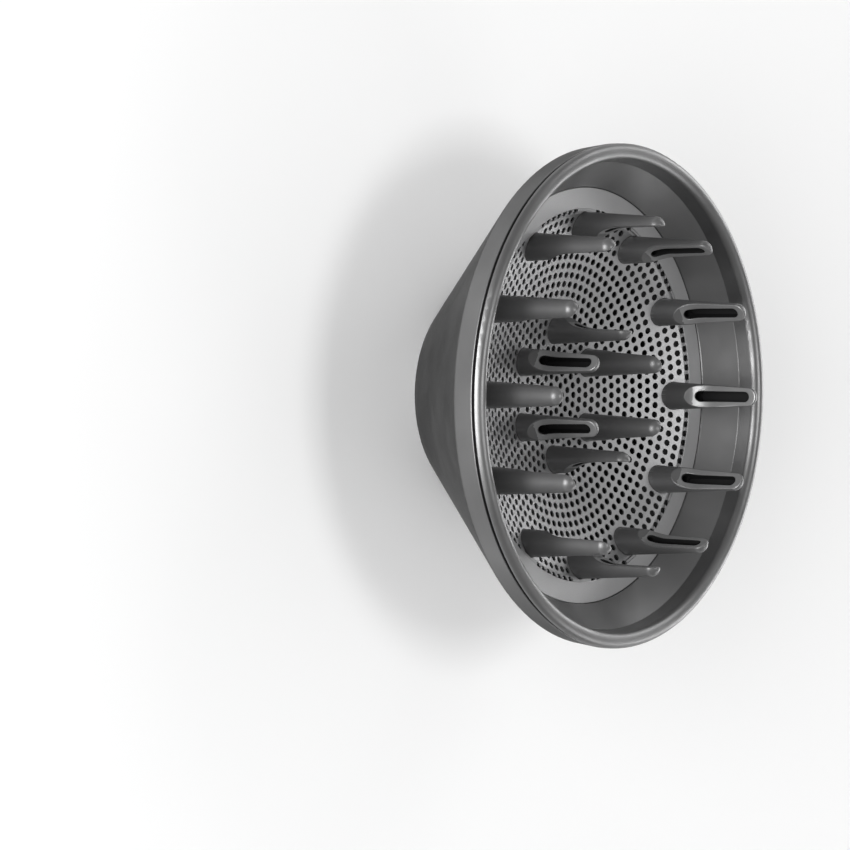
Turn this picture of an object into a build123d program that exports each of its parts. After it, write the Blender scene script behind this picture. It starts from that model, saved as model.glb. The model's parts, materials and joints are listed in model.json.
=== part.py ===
from build123d import *
import os
from math import asin, cos, degrees, hypot, radians, sin, sqrt

# Dryer diffuser: a bowl with hollow fingers that fits on the front of a hand dryer.
# Millimetres. +Z is the diffuser's axis, from the neck to the fingers. The origin is the
# centre of the neck's rear face, which is also the face that the diffuser stands on.

os.makedirs("parts", exist_ok=True)

# ---- driving dimensions -------------------------------------------------------------

# outer casing
NECK_R = 31.2            # outside radius of the neck's rear edge
CREASE_R = 75.0          # where the cone turns into the rim band
CREASE_Z = 46.0
RIM_R = 76.0             # outside radius at the front, the object's widest
SEAM_Z = 53.5            # middle of the groove between the two casing halves
SEAM_GAP = 0.8
SHELL_WALL = 2.0

# front bezel
LIP_R = 2.5              # rounding of the rolled lip
LIP_TOP_Z = 56.1
WALL_FOOT_R = 70.35      # foot of the upright inner wall
WALL_FOOT_Z = 49.8
FLOOR_R = 62.9           # inner edge of the sloping floor, where the clamp ring lies
RING_Z = 40.9            # front face of the clamp ring
RING_LIP = 0.25          # its thickness over the screen
RING_BODY = 1.2          # and over the bezel's ledge
FLOOR_STEP = 0.3         # the floor's edge stands this much proud of the clamp ring
FLOOR_ROUND = 0.4        # and is rounded
WALL_FOOT_ROUND = 0.4    # in the corner where the floor meets the wall
BEZEL_WALL = 1.8

# screen
DISH_Z = 28.3            # lowest point of the screen's front face
DISH_R = 132.5           # spherical radius of the screen's front face
SCREEN_T = 0.5
SCREEN_OUT_R = 58.2
HOLE_R = 1.0
HOLE_PITCH = 2.795       # between rings of holes; ring k has 6k holes
HOLE_RINGS = 20
RING_IN_R = 56.3         # the clamp ring's inner edge, across the last ring of holes

# fingers
OUTER_COUNT = 12
OUTER_AT_R = 51.2
OUTER_TALL = 30.0
OUTER_SLOT_FROM = 9.1
INNER_COUNT = 6
INNER_AT_R = 19.6
INNER_TALL = 27.4
INNER_SLOT_FROM = 7.2
FINGER_BASE_R = 4.25
FINGER_TIP_R = 2.9
FINGER_BACK_WALL = 1.0
SLOT_WIDE = 3.0
SLOT_TO_TIP = 2.5
FACE_ROUND = 0.45        # rounding of the face's outer edge, and of the slot's
SLOT_ROUND = 0.3
ROOT_DEEP = 6.8          # how far a finger reaches below the screen's face
ROOT_BORE_R = 2.7
BORE_TOP_R = 1.2         # the bore narrows where it meets the slot
FIT = 0.1                # clearance round fingers, screen and carrier

# carrier behind the screen
CARRIER_T = 2.0
SOCKET_WALL = 1.25
SOCKET_LIP = 1.0
HUB_R = 14.0
INNER_RING_R = 25.0
OUTER_RING_R = 45.5
SPOKE_WIDE = 5.0
POST_AT_R = 60.0         # clamp ring's posts, and the screws in them
POST_COUNT = 6
POST_TURN = 15.0         # they stand between the outer fingers
POST_R = 1.5
POST_END_Z = 36.3
LUG_R = 2.6
SCREW_R = 0.9
SCREW_HEAD_R = 1.7
SCREW_HEAD_T = 1.1

# coupling in the neck
BORE_R = 23.0            # the bore that goes over the dryer's nose ring
PAD_T = 0.8
COLLAR_TOP_Z = 7.0
KEEPER_T = 1.2
MAGNET_R = 1.9
MAGNET_T = 4.0
MAGNET_AT_R = 26.0
MAGNET_COUNT = 10
FLANGE_T = 1.2
FLANGE_R = 34.4
DUCT_WALL = 1.2
DUCT_R = 23.6            # inner radius of the duct at its rear end
DUCT_RIM_R = 64.0        # and at its front end
DUCT_RIM_Z = 39.4
DUCT_SCREW_AT_R = 31.5

# ---- worked out from them -----------------------------------------------------------

DISH_CENTRE_Z = DISH_Z + DISH_R
CONE_RISE = (CREASE_R - NECK_R) / CREASE_Z          # radius gained per millimetre of height
SHELL_ACROSS = SHELL_WALL * hypot(1, CONE_RISE)     # the cone's wall, measured along the radius
SHELL_IN_R = NECK_R - SHELL_ACROSS                  # inside radius at the rear edge
SHELL_TOP_Z = SEAM_Z - SEAM_GAP / 2
BEZEL_FOOT_Z = SEAM_Z + SEAM_GAP / 2
FLOOR_Z = RING_Z + FLOOR_STEP                       # front of the sloping floor's inner edge
FLOOR_RISE = (WALL_FOOT_Z - FLOOR_Z) / (WALL_FOOT_R - FLOOR_R)
MARGIN_Z = RING_Z - RING_LIP                        # front face of the screen's flat margin
LEDGE_Z = RING_Z - RING_BODY
MARGIN_R = sqrt(DISH_R**2 - (DISH_CENTRE_Z - MARGIN_Z) ** 2)
SKIRT_OUT_R = RIM_R - SHELL_WALL - 0.8


def dish(radius, sphere=DISH_R):
    """Height of a sphere about the dish's centre, at a distance from the axis."""
    return DISH_CENTRE_Z - sqrt(sphere**2 - radius**2)


def cone_inside(height):
    """Inside radius of the casing's cone at a height."""
    return SHELL_IN_R + CONE_RISE * height


def finish(builder, label):
    builder.part.label = label
    export_step(builder.part, f"parts/{label}.step")


# ---- rear shell: cone and rim band, one moulding --------------------------------------

BAND_IN_R = RIM_R - SHELL_WALL - 0.4
CREASE_IN_Z = (BAND_IN_R - SHELL_IN_R) / CONE_RISE
BEAD_Z = 49.5

with BuildPart() as rear_shell:
    with BuildSketch(Plane.XZ) as shell_section:
        with BuildLine():
            Polyline(
                (SHELL_IN_R, 0),
                (NECK_R, 0),
                (CREASE_R, CREASE_Z),
                (RIM_R, SHELL_TOP_Z),
                (BAND_IN_R, SHELL_TOP_Z),
                (BAND_IN_R, CREASE_IN_Z),
                close=True,
            )
        make_face()
        crease = shell_section.vertices().sort_by_distance((CREASE_R, CREASE_Z))[0]
        fillet(crease, 2.0)
        edge = shell_section.vertices().sort_by_distance((RIM_R, SHELL_TOP_Z))[0]
        fillet(edge, 0.35)
        # groove for the bezel's snap bead
        with Locations((BAND_IN_R, BEAD_Z)):
            Rectangle(1.0, 1.8, mode=Mode.SUBTRACT)
    revolve(axis=Axis.Z)
finish(rear_shell, "rear_shell")

# ---- front bezel: rolled lip, inner wall and sloping floor -----------------------------

FLOOR_DROP = BEZEL_WALL * hypot(1, FLOOR_RISE)      # the floor's wall, measured along Z
LEDGE_IN_R = 58.5
LEDGE_T = 1.2
LIP_MID_R = RIM_R - LIP_R
LIP_MID_Z = LIP_TOP_Z - LIP_R

with BuildPart() as front_bezel:
    with BuildSketch(Plane.XZ) as bezel_section:
        with BuildLine():
            wall_top = (LIP_MID_R - LIP_R, LIP_MID_Z)
            lip_start = (RIM_R, BEZEL_FOOT_Z)
            Polyline(
                wall_top,
                (WALL_FOOT_R, WALL_FOOT_Z),
                (FLOOR_R, FLOOR_Z),
                (FLOOR_R, LEDGE_Z),
                (LEDGE_IN_R, LEDGE_Z),
                (LEDGE_IN_R, LEDGE_Z - LEDGE_T),
                (FLOOR_R + 0.6, LEDGE_Z - LEDGE_T),
                (WALL_FOOT_R + 1.2, WALL_FOOT_Z - FLOOR_DROP + 1.2 * FLOOR_RISE),
                (SKIRT_OUT_R, BEAD_Z - 2.2),
                (SKIRT_OUT_R, BEAD_Z - 0.7),
                (SKIRT_OUT_R + 0.6, BEAD_Z),
                (SKIRT_OUT_R, BEAD_Z + 0.7),
                (SKIRT_OUT_R, BEZEL_FOOT_Z),
                lip_start,
            )
            Line(lip_start, (RIM_R, LIP_MID_Z + 0.2))
            ThreePointArc(
                (RIM_R, LIP_MID_Z + 0.2),
                (LIP_MID_R, LIP_TOP_Z),
                wall_top,
            )
        make_face()
        foot = bezel_section.vertices().sort_by_distance((WALL_FOOT_R, WALL_FOOT_Z))[0]
        fillet(foot, WALL_FOOT_ROUND)
        floor_edge = bezel_section.vertices().sort_by_distance((FLOOR_R, FLOOR_Z))[0]
        fillet(floor_edge, FLOOR_ROUND)
        corner = bezel_section.vertices().sort_by_distance((RIM_R, BEZEL_FOOT_Z))[0]
        fillet(corner, 0.2)
    revolve(axis=Axis.Z)
    with PolarLocations(POST_AT_R, POST_COUNT, start_angle=POST_TURN):
        with Locations((0, 0, LEDGE_Z)):
            Hole(POST_R + 0.2, depth=LEDGE_T + 1)
finish(front_bezel, "front_bezel")

# ---- seam gasket in the groove between the halves ---------------------------------------

with BuildPart() as seam_gasket:
    with BuildSketch(Plane.XZ):
        with Locations((RIM_R - 1.9, SEAM_Z)):
            RectangleRounded(1.6, SEAM_GAP - 0.02, 0.2)
    revolve(axis=Axis.Z)
finish(seam_gasket, "seam_gasket")

# ---- perforated screen: a spherical dish with a flat margin -----------------------------



def finger_places():
    """Where the fingers stand: radius and angle, the outer ring first."""
    outer = [(OUTER_AT_R, 360 / OUTER_COUNT * i) for i in range(OUTER_COUNT)]
    inner = [(INNER_AT_R, 30 + 360 / INNER_COUNT * i) for i in range(INNER_COUNT)]
    return outer + inner


def hole_places():
    """Rings of holes: ring k has 6k, turned by half a step on odd rings."""
    places = [(0.0, 0.0)]
    for k in range(1, HOLE_RINGS + 1):
        places += [(HOLE_PITCH * k, (i + 0.5 * (k % 2)) * 60 / k) for i in range(6 * k)]
    return places


def across(place):
    """Plain coordinates of a radius and angle."""
    radius, angle = place
    return radius * cos(radians(angle)), radius * sin(radians(angle))


def apart(place, other):
    (x, y), (u, v) = across(place), across(other)
    return hypot(x - u, y - v)


def aim(place):
    """Turns a punch that points down the axis to a place on the dish."""
    radius, angle = place
    tilt = degrees(asin(radius / DISH_R))
    return Location((0, 0, 0), (0, 0, angle)) * Location((0, 0, 0), (0, -tilt, 0))


fingers = finger_places()
KEEP_OFF = FINGER_BASE_R + FIT + HOLE_R + 0.2
holes = [h for h in hole_places() if min(apart(h, f) for f in fingers) > KEEP_OFF]

# The punch cuts along a radius of the sphere, so every hole is square to the sheet.
with BuildPart() as punch:
    with BuildSketch(Plane.XZ):
        with Locations((HOLE_R / 2, -DISH_R)):
            Rectangle(HOLE_R, 5 * SCREEN_T)
    revolve(axis=Axis.Z)

with BuildPart(Plane.XY.offset(DISH_CENTRE_Z)) as perforated_screen:
    Sphere(DISH_R + SCREEN_T)
    Sphere(DISH_R, mode=Mode.SUBTRACT)
    with BuildSketch(Plane.XY.offset(MARGIN_Z - SCREEN_T)):
        Circle(2 * DISH_R)
    extrude(amount=3 * DISH_R, mode=Mode.SUBTRACT)
    with BuildSketch(Plane.XY.offset(MARGIN_Z - SCREEN_T)):
        Circle(SCREEN_OUT_R)
        Circle(MARGIN_R - 0.3, mode=Mode.SUBTRACT)
    extrude(amount=SCREEN_T)
    with Locations(*[aim(h) for h in holes if h[0] < MARGIN_R]):
        add(punch.part, mode=Mode.SUBTRACT)
    with BuildSketch(Plane.XY.offset(DISH_Z - 2 * SCREEN_T)):
        with Locations(*[across(h) for h in holes if h[0] >= MARGIN_R]):
            Circle(HOLE_R)
        with Locations(*[across(f) for f in fingers]):
            Circle(FINGER_BASE_R + FIT)
    extrude(amount=MARGIN_Z - DISH_Z + 4 * SCREEN_T, mode=Mode.SUBTRACT)
finish(perforated_screen, "perforated_screen")

# ---- clamp ring: holds the screen's margin down on the carrier ---------------------------

with BuildPart() as screen_clamp_ring:
    with BuildSketch(Plane.XZ):
        with BuildLine():
            Polyline(
                (RING_IN_R, RING_Z),
                (FLOOR_R - 0.15, RING_Z),
                (FLOOR_R - 0.15, LEDGE_Z),
                (SCREEN_OUT_R + 0.2, LEDGE_Z),
                (SCREEN_OUT_R + 0.2, MARGIN_Z),
                (RING_IN_R, MARGIN_Z),
                close=True,
            )
        make_face()
    revolve(axis=Axis.Z)
    rims = screen_clamp_ring.edges().filter_by(GeomType.CIRCLE).group_by(Axis.Z)[-1]
    chamfer(rims, 0.12)
    with BuildSketch(Plane.XY.offset(POST_END_Z)):
        with PolarLocations(POST_AT_R, POST_COUNT, start_angle=POST_TURN):
            Circle(POST_R)
    extrude(amount=LEDGE_Z - POST_END_Z + 0.1)
    with BuildSketch(Plane.XY.offset(POST_END_Z)):
        with PolarLocations(POST_AT_R, POST_COUNT, start_angle=POST_TURN):
            Circle(SCREW_R + 0.02)
    extrude(amount=3.2, mode=Mode.SUBTRACT)
finish(screen_clamp_ring, "screen_clamp_ring")

# ---- finger carrier: spoked dish behind the screen, with a socket for each finger --------

CARRIER_R = DISH_R + SCREEN_T + FIT      # spherical radius of its front face
CARRIER_RIM_Z = MARGIN_Z - SCREEN_T - FIT
CARRIER_OUT_R = SCREEN_OUT_R
bend = sqrt(CARRIER_R**2 - (DISH_CENTRE_Z - CARRIER_RIM_Z) ** 2)
SOCKET_R = FINGER_BASE_R + FIT + SOCKET_WALL

with BuildPart() as finger_carrier:
    with BuildSketch(Plane.XZ):
        with BuildLine():
            hub_front = (HUB_R, dish(HUB_R, CARRIER_R))
            hub_back = (HUB_R, dish(HUB_R, CARRIER_R + CARRIER_T))
            rim_back = (bend, CARRIER_RIM_Z - CARRIER_T - 0.4)
            RadiusArc(hub_front, (bend, CARRIER_RIM_Z), -CARRIER_R)
            Polyline(
                (bend, CARRIER_RIM_Z),
                (CARRIER_OUT_R, CARRIER_RIM_Z),
                (CARRIER_OUT_R, rim_back[1]),
                rim_back,
            )
            RadiusArc(rim_back, hub_back, CARRIER_R + CARRIER_T)
            Line(hub_back, hub_front)
        make_face()
    revolve(axis=Axis.Z)
    # windows for the air, between six spokes
    with BuildSketch(Plane.XY.offset(DISH_Z - 5)) as windows:
        Circle(OUTER_RING_R)
        Circle(INNER_RING_R, mode=Mode.SUBTRACT)
        with PolarLocations(0, INNER_COUNT, start_angle=30):
            with Locations((OUTER_RING_R / 2, 0)):
                Rectangle(OUTER_RING_R + 4, SPOKE_WIDE, mode=Mode.SUBTRACT)
        fillet(windows.vertices(), 2.0)
    extrude(amount=20, mode=Mode.SUBTRACT)
    # screw lugs outside the rim, under the bezel's ledge
    with BuildSketch(Plane.XY.offset(POST_END_Z)):
        with PolarLocations(POST_AT_R, POST_COUNT, start_angle=POST_TURN):
            Circle(LUG_R)
    extrude(amount=LEDGE_Z - LEDGE_T - 0.1 - POST_END_Z)
    # sockets
    for radius, count, turn in ((OUTER_AT_R, OUTER_COUNT, 0), (INNER_AT_R, INNER_COUNT, 30)):
        seat_z = dish(radius) - ROOT_DEEP
        with BuildSketch(Plane.XY.offset(seat_z - SOCKET_LIP)):
            with PolarLocations(radius, count, start_angle=turn):
                Circle(SOCKET_R)
        extrude(amount=dish(radius - SOCKET_R, CARRIER_R + 1) - seat_z + SOCKET_LIP)
        with BuildSketch(Plane.XY.offset(seat_z)):
            with PolarLocations(radius, count, start_angle=turn):
                Circle(FINGER_BASE_R + FIT)
        extrude(amount=20, mode=Mode.SUBTRACT)
        with BuildSketch(Plane.XY.offset(seat_z - SOCKET_LIP)):
            with PolarLocations(radius, count, start_angle=turn):
                Circle(ROOT_BORE_R)
        extrude(amount=20, mode=Mode.SUBTRACT)
    with BuildSketch(Plane.XY.offset(POST_END_Z - 5)):
        with PolarLocations(POST_AT_R, POST_COUNT, start_angle=POST_TURN):
            Circle(POST_R + 0.1)
    extrude(amount=10, mode=Mode.SUBTRACT)
finish(finger_carrier, "finger_carrier")

# ---- fingers: hollow and tapered, cut to a flat face with a slot in it --------------------


def on_mouth(edge, tall, slot_from):
    """Whether an edge is where the slot breaks out of the finger's face."""
    middle = edge.center()
    return abs(middle.Y) < SLOT_WIDE / 2 + 0.01 and middle.X > 0 and slot_from < middle.Z < tall - 1


def hollow_finger(tall, slot_from):
    """A finger on its own axis, standing on the screen at Z 0, with its slot facing +X."""
    shoulder = slot_from - 2.6
    face_start = (0.5, shoulder + 9.5)
    scoop_foot = (FINGER_BASE_R + 0.3, shoulder - 1.0)
    tip_side = (FINGER_TIP_R, tall - FINGER_TIP_R)
    with BuildPart() as body:
        with BuildSketch(Plane.XZ):
            with BuildLine():
                Polyline(
                    tip_side,
                    (FINGER_BASE_R, 0),
                    (FINGER_BASE_R, -ROOT_DEEP),
                    (0, -ROOT_DEEP),
                    (0, tall),
                )
                RadiusArc((0, tall), tip_side, FINGER_TIP_R)
            make_face()
        revolve(axis=Axis.Z)
        # the cut-back side: round up to the shoulder, then a hollow curve to the flat face
        with BuildSketch(Plane.XZ):
            with BuildLine():
                Spline(
                    scoop_foot,
                    (2.4, shoulder + 2.0),
                    (1.0, shoulder + 5.4),
                    face_start,
                    tangents=[(-0.6, 1), (-0.02, 1)],
                )
                Polyline(
                    face_start,
                    (0.1, tall + 1),
                    (FINGER_BASE_R + 0.3, tall + 1),
                    scoop_foot,
                )
            make_face()
        extrude(amount=FINGER_BASE_R + 1, both=True, mode=Mode.SUBTRACT)
        cut = body.faces().filter_by(lambda f: f.geom_type == GeomType.EXTRUSION)
        cut += body.faces().filter_by(GeomType.PLANE).sort_by(Axis.Z)[-1:]
        rim = cut.edges().filter_by(lambda e: abs(e.center().Y) > 0.1)
        fillet(rim, FACE_ROUND)
        # the slot, and the bore that feeds it from below
        with BuildSketch(Plane.YZ.offset(-(FINGER_TIP_R - FINGER_BACK_WALL))):
            with Locations((0, (slot_from + tall - SLOT_TO_TIP) / 2)):
                SlotOverall(tall - SLOT_TO_TIP - slot_from, SLOT_WIDE, rotation=90)
        extrude(amount=FINGER_BASE_R * 2, mode=Mode.SUBTRACT)
        mouth = body.edges().filter_by(lambda e: on_mouth(e, tall, slot_from))
        fillet(mouth, SLOT_ROUND)
        with BuildSketch(Plane.XZ):
            with BuildLine():
                Polyline(
                    (0, -ROOT_DEEP),
                    (ROOT_BORE_R, -ROOT_DEEP),
                    (ROOT_BORE_R, shoulder - 2.5),
                    (BORE_TOP_R, slot_from + SLOT_WIDE / 2),
                    (0, slot_from + SLOT_WIDE / 2),
                    close=True,
                )
            make_face()
        revolve(axis=Axis.Z, mode=Mode.SUBTRACT)
    return body.part


def stand_finger(label, shape, place, turn):
    """Puts a finger on the screen; its slot faces outwards, or inwards with turn 180."""
    foot = (*across(place), dish(place[0]))
    facing = (*across((1, place[1] + turn)), 0)
    with BuildPart(Plane(foot, x_dir=facing, z_dir=(0, 0, 1))) as placed:
        add(shape)
    finish(placed, label)


outer_shape = hollow_finger(OUTER_TALL, OUTER_SLOT_FROM)
inner_shape = hollow_finger(INNER_TALL, INNER_SLOT_FROM)
for i in range(OUTER_COUNT):
    stand_finger(f"outer_finger_{i + 1:02d}", outer_shape, fingers[i], 180)
for i in range(INNER_COUNT):
    stand_finger(f"inner_finger_{i + 1:02d}", inner_shape, fingers[OUTER_COUNT + i], 0)

# ---- screws that pull the clamp ring, bezel and carrier together ---------------------------


def screw_group(label, radius, count, turn, head_z, length, head_up=False):
    """A ring of cross-recessed pan head screws, pointing up or down the axis."""
    with BuildPart() as one:
        with BuildSketch(Plane.XY.offset(-SCREW_HEAD_T)):
            Circle(SCREW_HEAD_R)
        extrude(amount=SCREW_HEAD_T)
        fillet(one.edges().filter_by(GeomType.CIRCLE).group_by(Axis.Z)[0], 0.4)
        with BuildSketch():
            Circle(SCREW_R)
        extrude(amount=length)
        chamfer(one.edges().filter_by(GeomType.CIRCLE).group_by(Axis.Z)[-1], 0.3)
        with BuildSketch(Plane.XY.offset(-SCREW_HEAD_T)):
            Rectangle(1.9, 0.4)
            Rectangle(0.4, 1.9)
        extrude(amount=0.6, mode=Mode.SUBTRACT)
    way = (0, 0, -1) if head_up else (0, 0, 1)
    with BuildPart(Plane((0, 0, head_z), z_dir=way)) as group:
        with PolarLocations(radius, count, start_angle=turn):
            add(one.part)
    finish(group, label)


screw_group("carrier_screws", POST_AT_R, POST_COUNT, POST_TURN, POST_END_Z, 3.0)

# ---- coupling collar: holds the magnets in the neck, and goes over the nose ring -----------

CHANNEL_Z = COLLAR_TOP_Z - KEEPER_T - 0.1
MAGNET_Z = CHANNEL_Z - MAGNET_T - 0.1
DUCT_SCREW_L = 4.0

with BuildPart() as coupling_collar:
    with BuildSketch(Plane.XZ):
        with BuildLine():
            Polyline(
                (BORE_R, PAD_T),
                (cone_inside(PAD_T) - FIT, PAD_T),
                (cone_inside(COLLAR_TOP_Z) - FIT, COLLAR_TOP_Z),
                (BORE_R, COLLAR_TOP_Z),
                close=True,
            )
        make_face()
    revolve(axis=Axis.Z)
    with BuildSketch(Plane.XY.offset(CHANNEL_Z)):
        Circle(MAGNET_AT_R + MAGNET_R + 0.2)
        Circle(MAGNET_AT_R - MAGNET_R - 0.2, mode=Mode.SUBTRACT)
    extrude(amount=KEEPER_T + 1, mode=Mode.SUBTRACT)
    with BuildSketch(Plane.XY.offset(MAGNET_Z)):
        with PolarLocations(MAGNET_AT_R, MAGNET_COUNT):
            Circle(MAGNET_R + 0.05)
    extrude(amount=MAGNET_T + 0.2, mode=Mode.SUBTRACT)
    with BuildSketch(Plane.XY.offset(COLLAR_TOP_Z)):
        with PolarLocations(DUCT_SCREW_AT_R, POST_COUNT):
            Circle(SCREW_R + 0.02)
    extrude(amount=-DUCT_SCREW_L, mode=Mode.SUBTRACT)
finish(coupling_collar, "coupling_collar")

with BuildPart() as coupling_magnets:
    with BuildSketch(Plane.XY.offset(MAGNET_Z)):
        with PolarLocations(MAGNET_AT_R, MAGNET_COUNT):
            Circle(MAGNET_R)
    extrude(amount=MAGNET_T)
finish(coupling_magnets, "coupling_magnets")

with BuildPart() as keeper_ring:
    with BuildSketch(Plane.XY.offset(CHANNEL_Z + 0.02)):
        Circle(MAGNET_AT_R + MAGNET_R + 0.1)
        Circle(MAGNET_AT_R - MAGNET_R - 0.1, mode=Mode.SUBTRACT)
    extrude(amount=KEEPER_T)
finish(keeper_ring, "keeper_ring")

# ---- soft pad on the neck's rear face, against the dryer --------------------------------------

with BuildPart() as neck_pad:
    with BuildSketch():
        Circle(SHELL_IN_R - FIT)
        Circle(BORE_R + 0.4, mode=Mode.SUBTRACT)
    extrude(amount=PAD_T)
finish(neck_pad, "neck_pad")

# ---- inner duct: spreads the air to the screen and keeps the casing cool ------------------------

DUCT_FOOT_Z = COLLAR_TOP_Z + FLANGE_T
DUCT_RISE = (DUCT_RIM_R - DUCT_R) / (DUCT_RIM_Z - DUCT_FOOT_Z)
DUCT_ACROSS = DUCT_WALL * hypot(1, DUCT_RISE)

with BuildPart() as inner_duct:
    with BuildSketch(Plane.XZ):
        with BuildLine():
            Polyline(
                (DUCT_R, COLLAR_TOP_Z),
                (FLANGE_R, COLLAR_TOP_Z),
                (FLANGE_R, DUCT_FOOT_Z),
                (DUCT_R + DUCT_ACROSS, DUCT_FOOT_Z),
                (DUCT_RIM_R, DUCT_RIM_Z - DUCT_ACROSS / DUCT_RISE),
                (DUCT_RIM_R + 1.2, DUCT_RIM_Z),
                (DUCT_RIM_R, DUCT_RIM_Z),
                (DUCT_R, DUCT_FOOT_Z),
                close=True,
            )
        make_face()
    revolve(axis=Axis.Z)
    with BuildSketch(Plane.XY.offset(COLLAR_TOP_Z)):
        with PolarLocations(DUCT_SCREW_AT_R, POST_COUNT):
            Circle(SCREW_R + 0.15)
    extrude(amount=FLANGE_T, mode=Mode.SUBTRACT)
finish(inner_duct, "inner_duct")

screw_group("duct_screws", DUCT_SCREW_AT_R, POST_COUNT, 0, DUCT_FOOT_Z, 4.8, head_up=True)
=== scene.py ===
import json
from math import radians

import bpy
from mathutils import Matrix, Vector

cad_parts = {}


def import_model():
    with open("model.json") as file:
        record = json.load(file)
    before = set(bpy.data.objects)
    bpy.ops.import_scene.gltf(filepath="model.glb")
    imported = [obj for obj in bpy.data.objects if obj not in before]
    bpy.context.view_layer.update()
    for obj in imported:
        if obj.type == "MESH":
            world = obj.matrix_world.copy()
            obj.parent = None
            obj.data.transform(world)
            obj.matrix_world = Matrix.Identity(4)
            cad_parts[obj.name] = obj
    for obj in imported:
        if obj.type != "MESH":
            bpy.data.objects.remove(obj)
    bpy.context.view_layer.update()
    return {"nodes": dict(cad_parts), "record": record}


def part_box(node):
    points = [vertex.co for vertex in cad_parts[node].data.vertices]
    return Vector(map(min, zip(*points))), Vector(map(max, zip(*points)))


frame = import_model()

NODES = frame["nodes"]
MM = 0.001


# ---- small helpers for node materials -------------------------------------------------


class Look:
    """A material built from named nodes, with its shader at hand."""

    def __init__(self, name, colour, roughness, metallic=0.0, specular=0.5):
        self.material = bpy.data.materials.new(name)
        self.material.use_nodes = True
        self.nodes = self.material.node_tree.nodes
        self.links = self.material.node_tree.links
        self.shader = self.nodes["Principled BSDF"]
        self.set("Base Color", (*colour, 1.0))
        self.set("Roughness", roughness)
        self.set("Metallic", metallic)
        self.set("Specular IOR Level", specular)
        self.place = self.add("ShaderNodeTexCoord").outputs["Object"]

    def set(self, socket, value):
        self.shader.inputs[socket].default_value = value

    def add(self, kind):
        return self.nodes.new(kind)

    def join(self, source, target):
        self.links.new(source, target)

    def noise(self, scale, detail, stretch=(1, 1, 1)):
        """Noise of a given number of cells per metre, in the object's own space."""
        spread = self.add("ShaderNodeMapping")
        spread.inputs["Scale"].default_value = stretch
        self.join(self.place, spread.inputs["Vector"])
        node = self.add("ShaderNodeTexNoise")
        node.inputs["Scale"].default_value = scale
        node.inputs["Detail"].default_value = detail
        self.join(spread.outputs["Vector"], node.inputs["Vector"])
        return node.outputs["Fac"]

    def ramp(self, value, low, high, start=0.3, end=0.7):
        """Turns a value into a colour or a grey between low and high."""
        node = self.add("ShaderNodeValToRGB")
        for element, position, shade in zip(node.color_ramp.elements, (start, end), (low, high)):
            element.position = position
            element.color = (*shade, 1.0) if len(shade) == 3 else (shade[0],) * 3 + (1.0,)
        self.join(value, node.inputs["Fac"])
        return node.outputs["Color"]

    def bump(self, height, distance, strength, under=None):
        """Grain of a given depth in metres, on top of another bump if there is one."""
        node = self.add("ShaderNodeBump")
        node.inputs["Distance"].default_value = distance
        node.inputs["Strength"].default_value = strength
        self.join(height, node.inputs["Height"])
        if under is not None:
            self.join(under, node.inputs["Normal"])
        return node.outputs["Normal"]


SHADE_VARIES = 0.12              # of a moulding's colour, either way
GRAIN_DEEP = 0.02 * MM
FLOW_MARKS_DEEP = 0.2 * MM
SATIN_DEEP = 0.01 * MM


def moulded(name, colour, roughness, metallic=0.0, specular=0.5, edge=1.0):
    """Moulded plastic: fine grain, faint flow marks and uneven gloss; edge tints its glancing shine."""
    look = Look(name, colour, roughness, metallic=metallic, specular=specular)
    look.set("Specular Tint", (edge, edge, edge, 1.0))
    darker = tuple(c * (1 - SHADE_VARIES) for c in colour)
    lighter = tuple(c * (1 + SHADE_VARIES) for c in colour)
    look.join(look.ramp(look.noise(35, 2), darker, lighter), look.shader.inputs["Base Color"])
    gloss = look.ramp(look.noise(90, 4), (roughness - 0.04,), (roughness + 0.05,))
    look.join(gloss, look.shader.inputs["Roughness"])
    flow = look.bump(look.noise(25, 1), FLOW_MARKS_DEEP, 0.25)
    fine = look.bump(look.noise(4500, 2), GRAIN_DEEP, 0.6, flow)
    look.join(fine, look.shader.inputs["Normal"])
    return look.material


def metal(name, colour, roughness, stretch=(1, 1, 1)):
    """Satin metal with a fine directional finish."""
    look = Look(name, colour, roughness, metallic=1.0)
    streaks = look.noise(2200, 3, stretch=stretch)
    gloss = look.ramp(streaks, (roughness - 0.06,), (roughness + 0.08,))
    look.join(gloss, look.shader.inputs["Roughness"])
    darker = tuple(c * 0.9 for c in colour)
    look.join(look.ramp(look.noise(60, 3), darker, colour), look.shader.inputs["Base Color"])
    look.join(look.bump(streaks, SATIN_DEEP, 0.5), look.shader.inputs["Normal"])
    return look.material


LOOKS = {
    "shell_plastic": moulded("graphite_shell", (0.21, 0.21, 0.211), 0.4, 1.0, edge=0.28),
    "bezel_plastic": moulded("graphite_bezel", (0.2, 0.2, 0.201), 0.4, 0.95, edge=0.9),
    "screen_metal": metal("punched_steel", (0.47, 0.47, 0.475), 0.5),
    "ring_metal": metal("satin_ring", (0.55, 0.55, 0.555), 0.46, (1, 1, 0.2)),
    "finger_plastic": moulded("graphite_fingers", (0.13, 0.13, 0.131), 0.38, 0.5),
    # painted shade: carrier and duct are near-black, darker than real plastic, to stand in for the
    # shade seen through the screen's holes
    "carrier_plastic": moulded("carrier_painted_shade", (0.006, 0.006, 0.0062), 0.65, specular=0.15),
    "duct_plastic": moulded("duct_painted_shade", (0.008, 0.008, 0.0082), 0.6, specular=0.2),
    "collar_plastic": moulded("black_collar", (0.04, 0.04, 0.042), 0.45),
    "magnet_nickel": metal("nickel", (0.66, 0.64, 0.6), 0.22),
    "keeper_steel": metal("plain_steel", (0.5, 0.5, 0.51), 0.35),
    "pad_silicone": moulded("silicone", (0.03, 0.03, 0.031), 0.62),
    "gasket_rubber": moulded("rubber", (0.012, 0.012, 0.012), 0.7),
    "screw_steel": metal("zinc_steel", (0.58, 0.58, 0.6), 0.3),
}

# ---- every node gets the look of its material slot --------------------------------------

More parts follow.
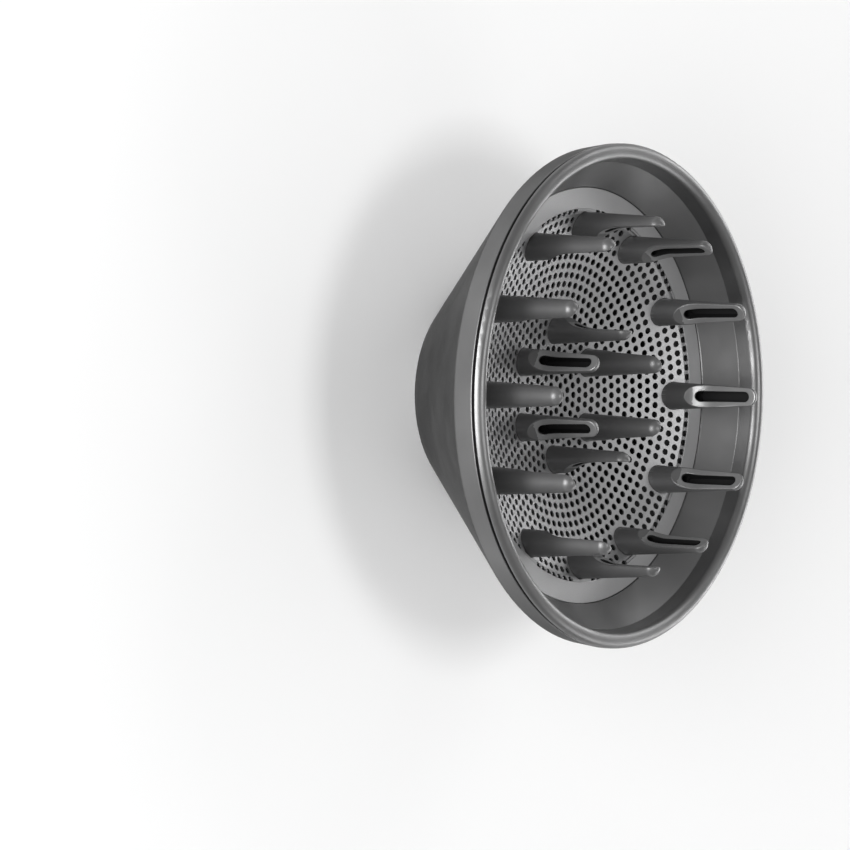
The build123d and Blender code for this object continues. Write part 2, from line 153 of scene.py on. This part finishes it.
for row in frame["record"]["subparts"]:
    node = NODES[row["node"]]
    node.data.materials.clear()
    node.data.materials.append(LOOKS[row["material_slot"]])
    for face in node.data.polygons:
        face.material_index = 0

# ---- fingers: painted shade on the slot and bore, painted highlight on the cut round them ----

SLOT_BELOW_TIP = 2.5 * MM
SLOT_DEEP = 0.2 * MM             # the slot's back wall lies further than this behind the axis
INSIDE_R = 2.72 * MM             # slot and bore lie nearer a finger's axis than this
ROOT = 6.8 * MM                  # below the screen
BASE_R = 4.25 * MM
TIP_R = 2.9 * MM
WITHIN = 0.955                   # of the finger's radius: its cut face, without the rounding
SIDEWAYS = 0.5                   # cosine to the cut side: a face turned further away is a bore wall
SQUARE_ON = 0.84                 # cosine to the cut side: a face turned less away is the cut itself
BORE_PAINTED_SHADE_SLOT = 1
RIM_PAINTED_HIGHLIGHT_SLOT = 2
# painted shade: the slot and bore faces are near-black to stand in for the shade inside them
BORE_PAINTED_SHADE_LOOK = moulded("bore_painted_shade", (0.008, 0.008, 0.0082), 0.7, specular=0.15)
# painted highlight: the cut face round the slot is a lighter grey than the finger, to stand in for its
# bright rim
RIM_PAINTED_HIGHLIGHT_LOOK = moulded("rim_painted_highlight", (0.27, 0.27, 0.271), 0.36, 0.6)


def paint_finger_shade_and_highlight(name, inwards):
    """The slot and bore get painted shade, near-black, and the cut face round the slot gets a painted
    highlight, lighter and glossier.
    """
    node = NODES[name]
    low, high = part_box(name)
    middle = (low + high) / 2
    facing = Vector((middle.x, middle.y, 0)).normalized() * (-1 if inwards else 1)
    taper = (BASE_R - TIP_R) / (high.z - low.z - ROOT - TIP_R)
    node.data.materials.append(BORE_PAINTED_SHADE_LOOK)
    node.data.materials.append(RIM_PAINTED_HIGHLIGHT_LOOK)
    for face in node.data.polygons:
        spot = face.center - middle
        turned = face.normal.dot(facing)
        from_axis = spot.xy.length
        outside_r = BASE_R - taper * (face.center.z - low.z - ROOT)
        slot_shade_side = turned < SIDEWAYS or spot.dot(facing) < -SLOT_DEEP
        # faces in the slot and bore get the painted shade
        if slot_shade_side and from_axis < INSIDE_R and face.center.z < high.z - SLOT_BELOW_TIP:
            face.material_index = BORE_PAINTED_SHADE_SLOT
        # the cut face round the slot gets the painted highlight
        elif turned > SQUARE_ON and from_axis < WITHIN * outside_r:
            face.material_index = RIM_PAINTED_HIGHLIGHT_SLOT


for name in NODES:
    if "_finger_" in name:
        paint_finger_shade_and_highlight(name, name.startswith("outer"))


# ---- floor, light and camera ------------------------------------------------------------


FLOOR_WIDE = 8.0


def floor():
    """A large plain floor, on which the neck stands."""
    bpy.ops.mesh.primitive_plane_add(size=FLOOR_WIDE, location=(0, 0, 0))
    plane = bpy.context.object
    plane.name = "floor"
    look = Look("pale_floor", (0.93, 0.93, 0.93), 0.9, specular=0.2)
    shade = look.ramp(look.noise(3, 2), (0.92,), (0.94,))
    look.join(shade, look.shader.inputs["Base Color"])
    plane.data.materials.append(look.material)


def soft_light(name, place, wide, high, power):
    """A soft box of a given width and height that faces the bowl."""
    data = bpy.data.lights.new(name, "AREA")
    data.shape = "RECTANGLE"
    data.size = wide
    data.size_y = high
    data.energy = power
    lamp = bpy.data.objects.new(name, data)
    bpy.context.scene.collection.objects.link(lamp)
    lamp.visible_camera = False
    lamp.location = place
    lamp.rotation_euler = (BOWL - Vector(place)).to_track_quat("-Z", "Y").to_euler()


def world(brightness):
    """Plain white light from all round."""
    scene_world = bpy.data.worlds.new("studio")
    scene_world.use_nodes = True
    background = scene_world.node_tree.nodes["Background"]
    background.inputs["Color"].default_value = (1, 1, 1, 1)
    background.inputs["Strength"].default_value = brightness
    bpy.context.scene.world = scene_world


BOWL = Vector((0, 0, 50)) * MM    # what the lights face
VIEW_FROM_AXIS = radians(54.1)    # between the diffuser's axis and the line of sight
DROOP = radians(0.97)             # the axis points a little down in the picture
DISTANCE = 2.42                   # metres, along the line of sight
LENS = 338.8                      # millimetres
AIM = Vector((-38.1, -9.15, 0)) * MM   # picture's middle, from the dish's middle, across and up
SCREEN_THICK = 0.5 * MM           # the screen's lowest point is the back of the dish's middle
SENSOR_WIDE = 36                  # millimetres


def camera():
    """A long lens from the bowl's front left."""
    data = bpy.data.cameras.new("camera")
    data.sensor_width = SENSOR_WIDE
    data.lens = LENS
    data.clip_end = 20
    eye = bpy.data.objects.new("camera", data)
    bpy.context.scene.collection.objects.link(eye)
    turn = Matrix.Rotation(-DROOP, 4, "X") @ Matrix.Rotation(-VIEW_FROM_AXIS, 4, "Y")
    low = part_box("perforated_screen")[0]
    dish_middle = Vector((0, 0, low.z + SCREEN_THICK))
    back = Matrix.Translation(AIM + Vector((0, 0, DISTANCE)))
    eye.matrix_world = Matrix.Translation(dish_middle) @ turn @ back
    bpy.context.scene.camera = eye


floor()
world(0.34)
soft_light("overhead", (0.1, 0.0, 1.6), 0.5, 0.5, 6)
soft_light("left", (-1.4, 0.0, 0.48), 1.2, 0.8, 16)
soft_light("left_low", (-1.0, 0.0, 0.15), 0.8, 0.24, 6)
soft_light("right", (1.3, 0.0, 0.32), 1.2, 0.5, 8)
soft_light("back_top", (1.0, 0.9, 0.6), 0.6, 0.5, 3)
soft_light("back_bottom", (1.0, -0.9, 0.6), 0.6, 0.5, 3)
camera()
bpy.context.scene.view_settings.view_transform = "Standard"
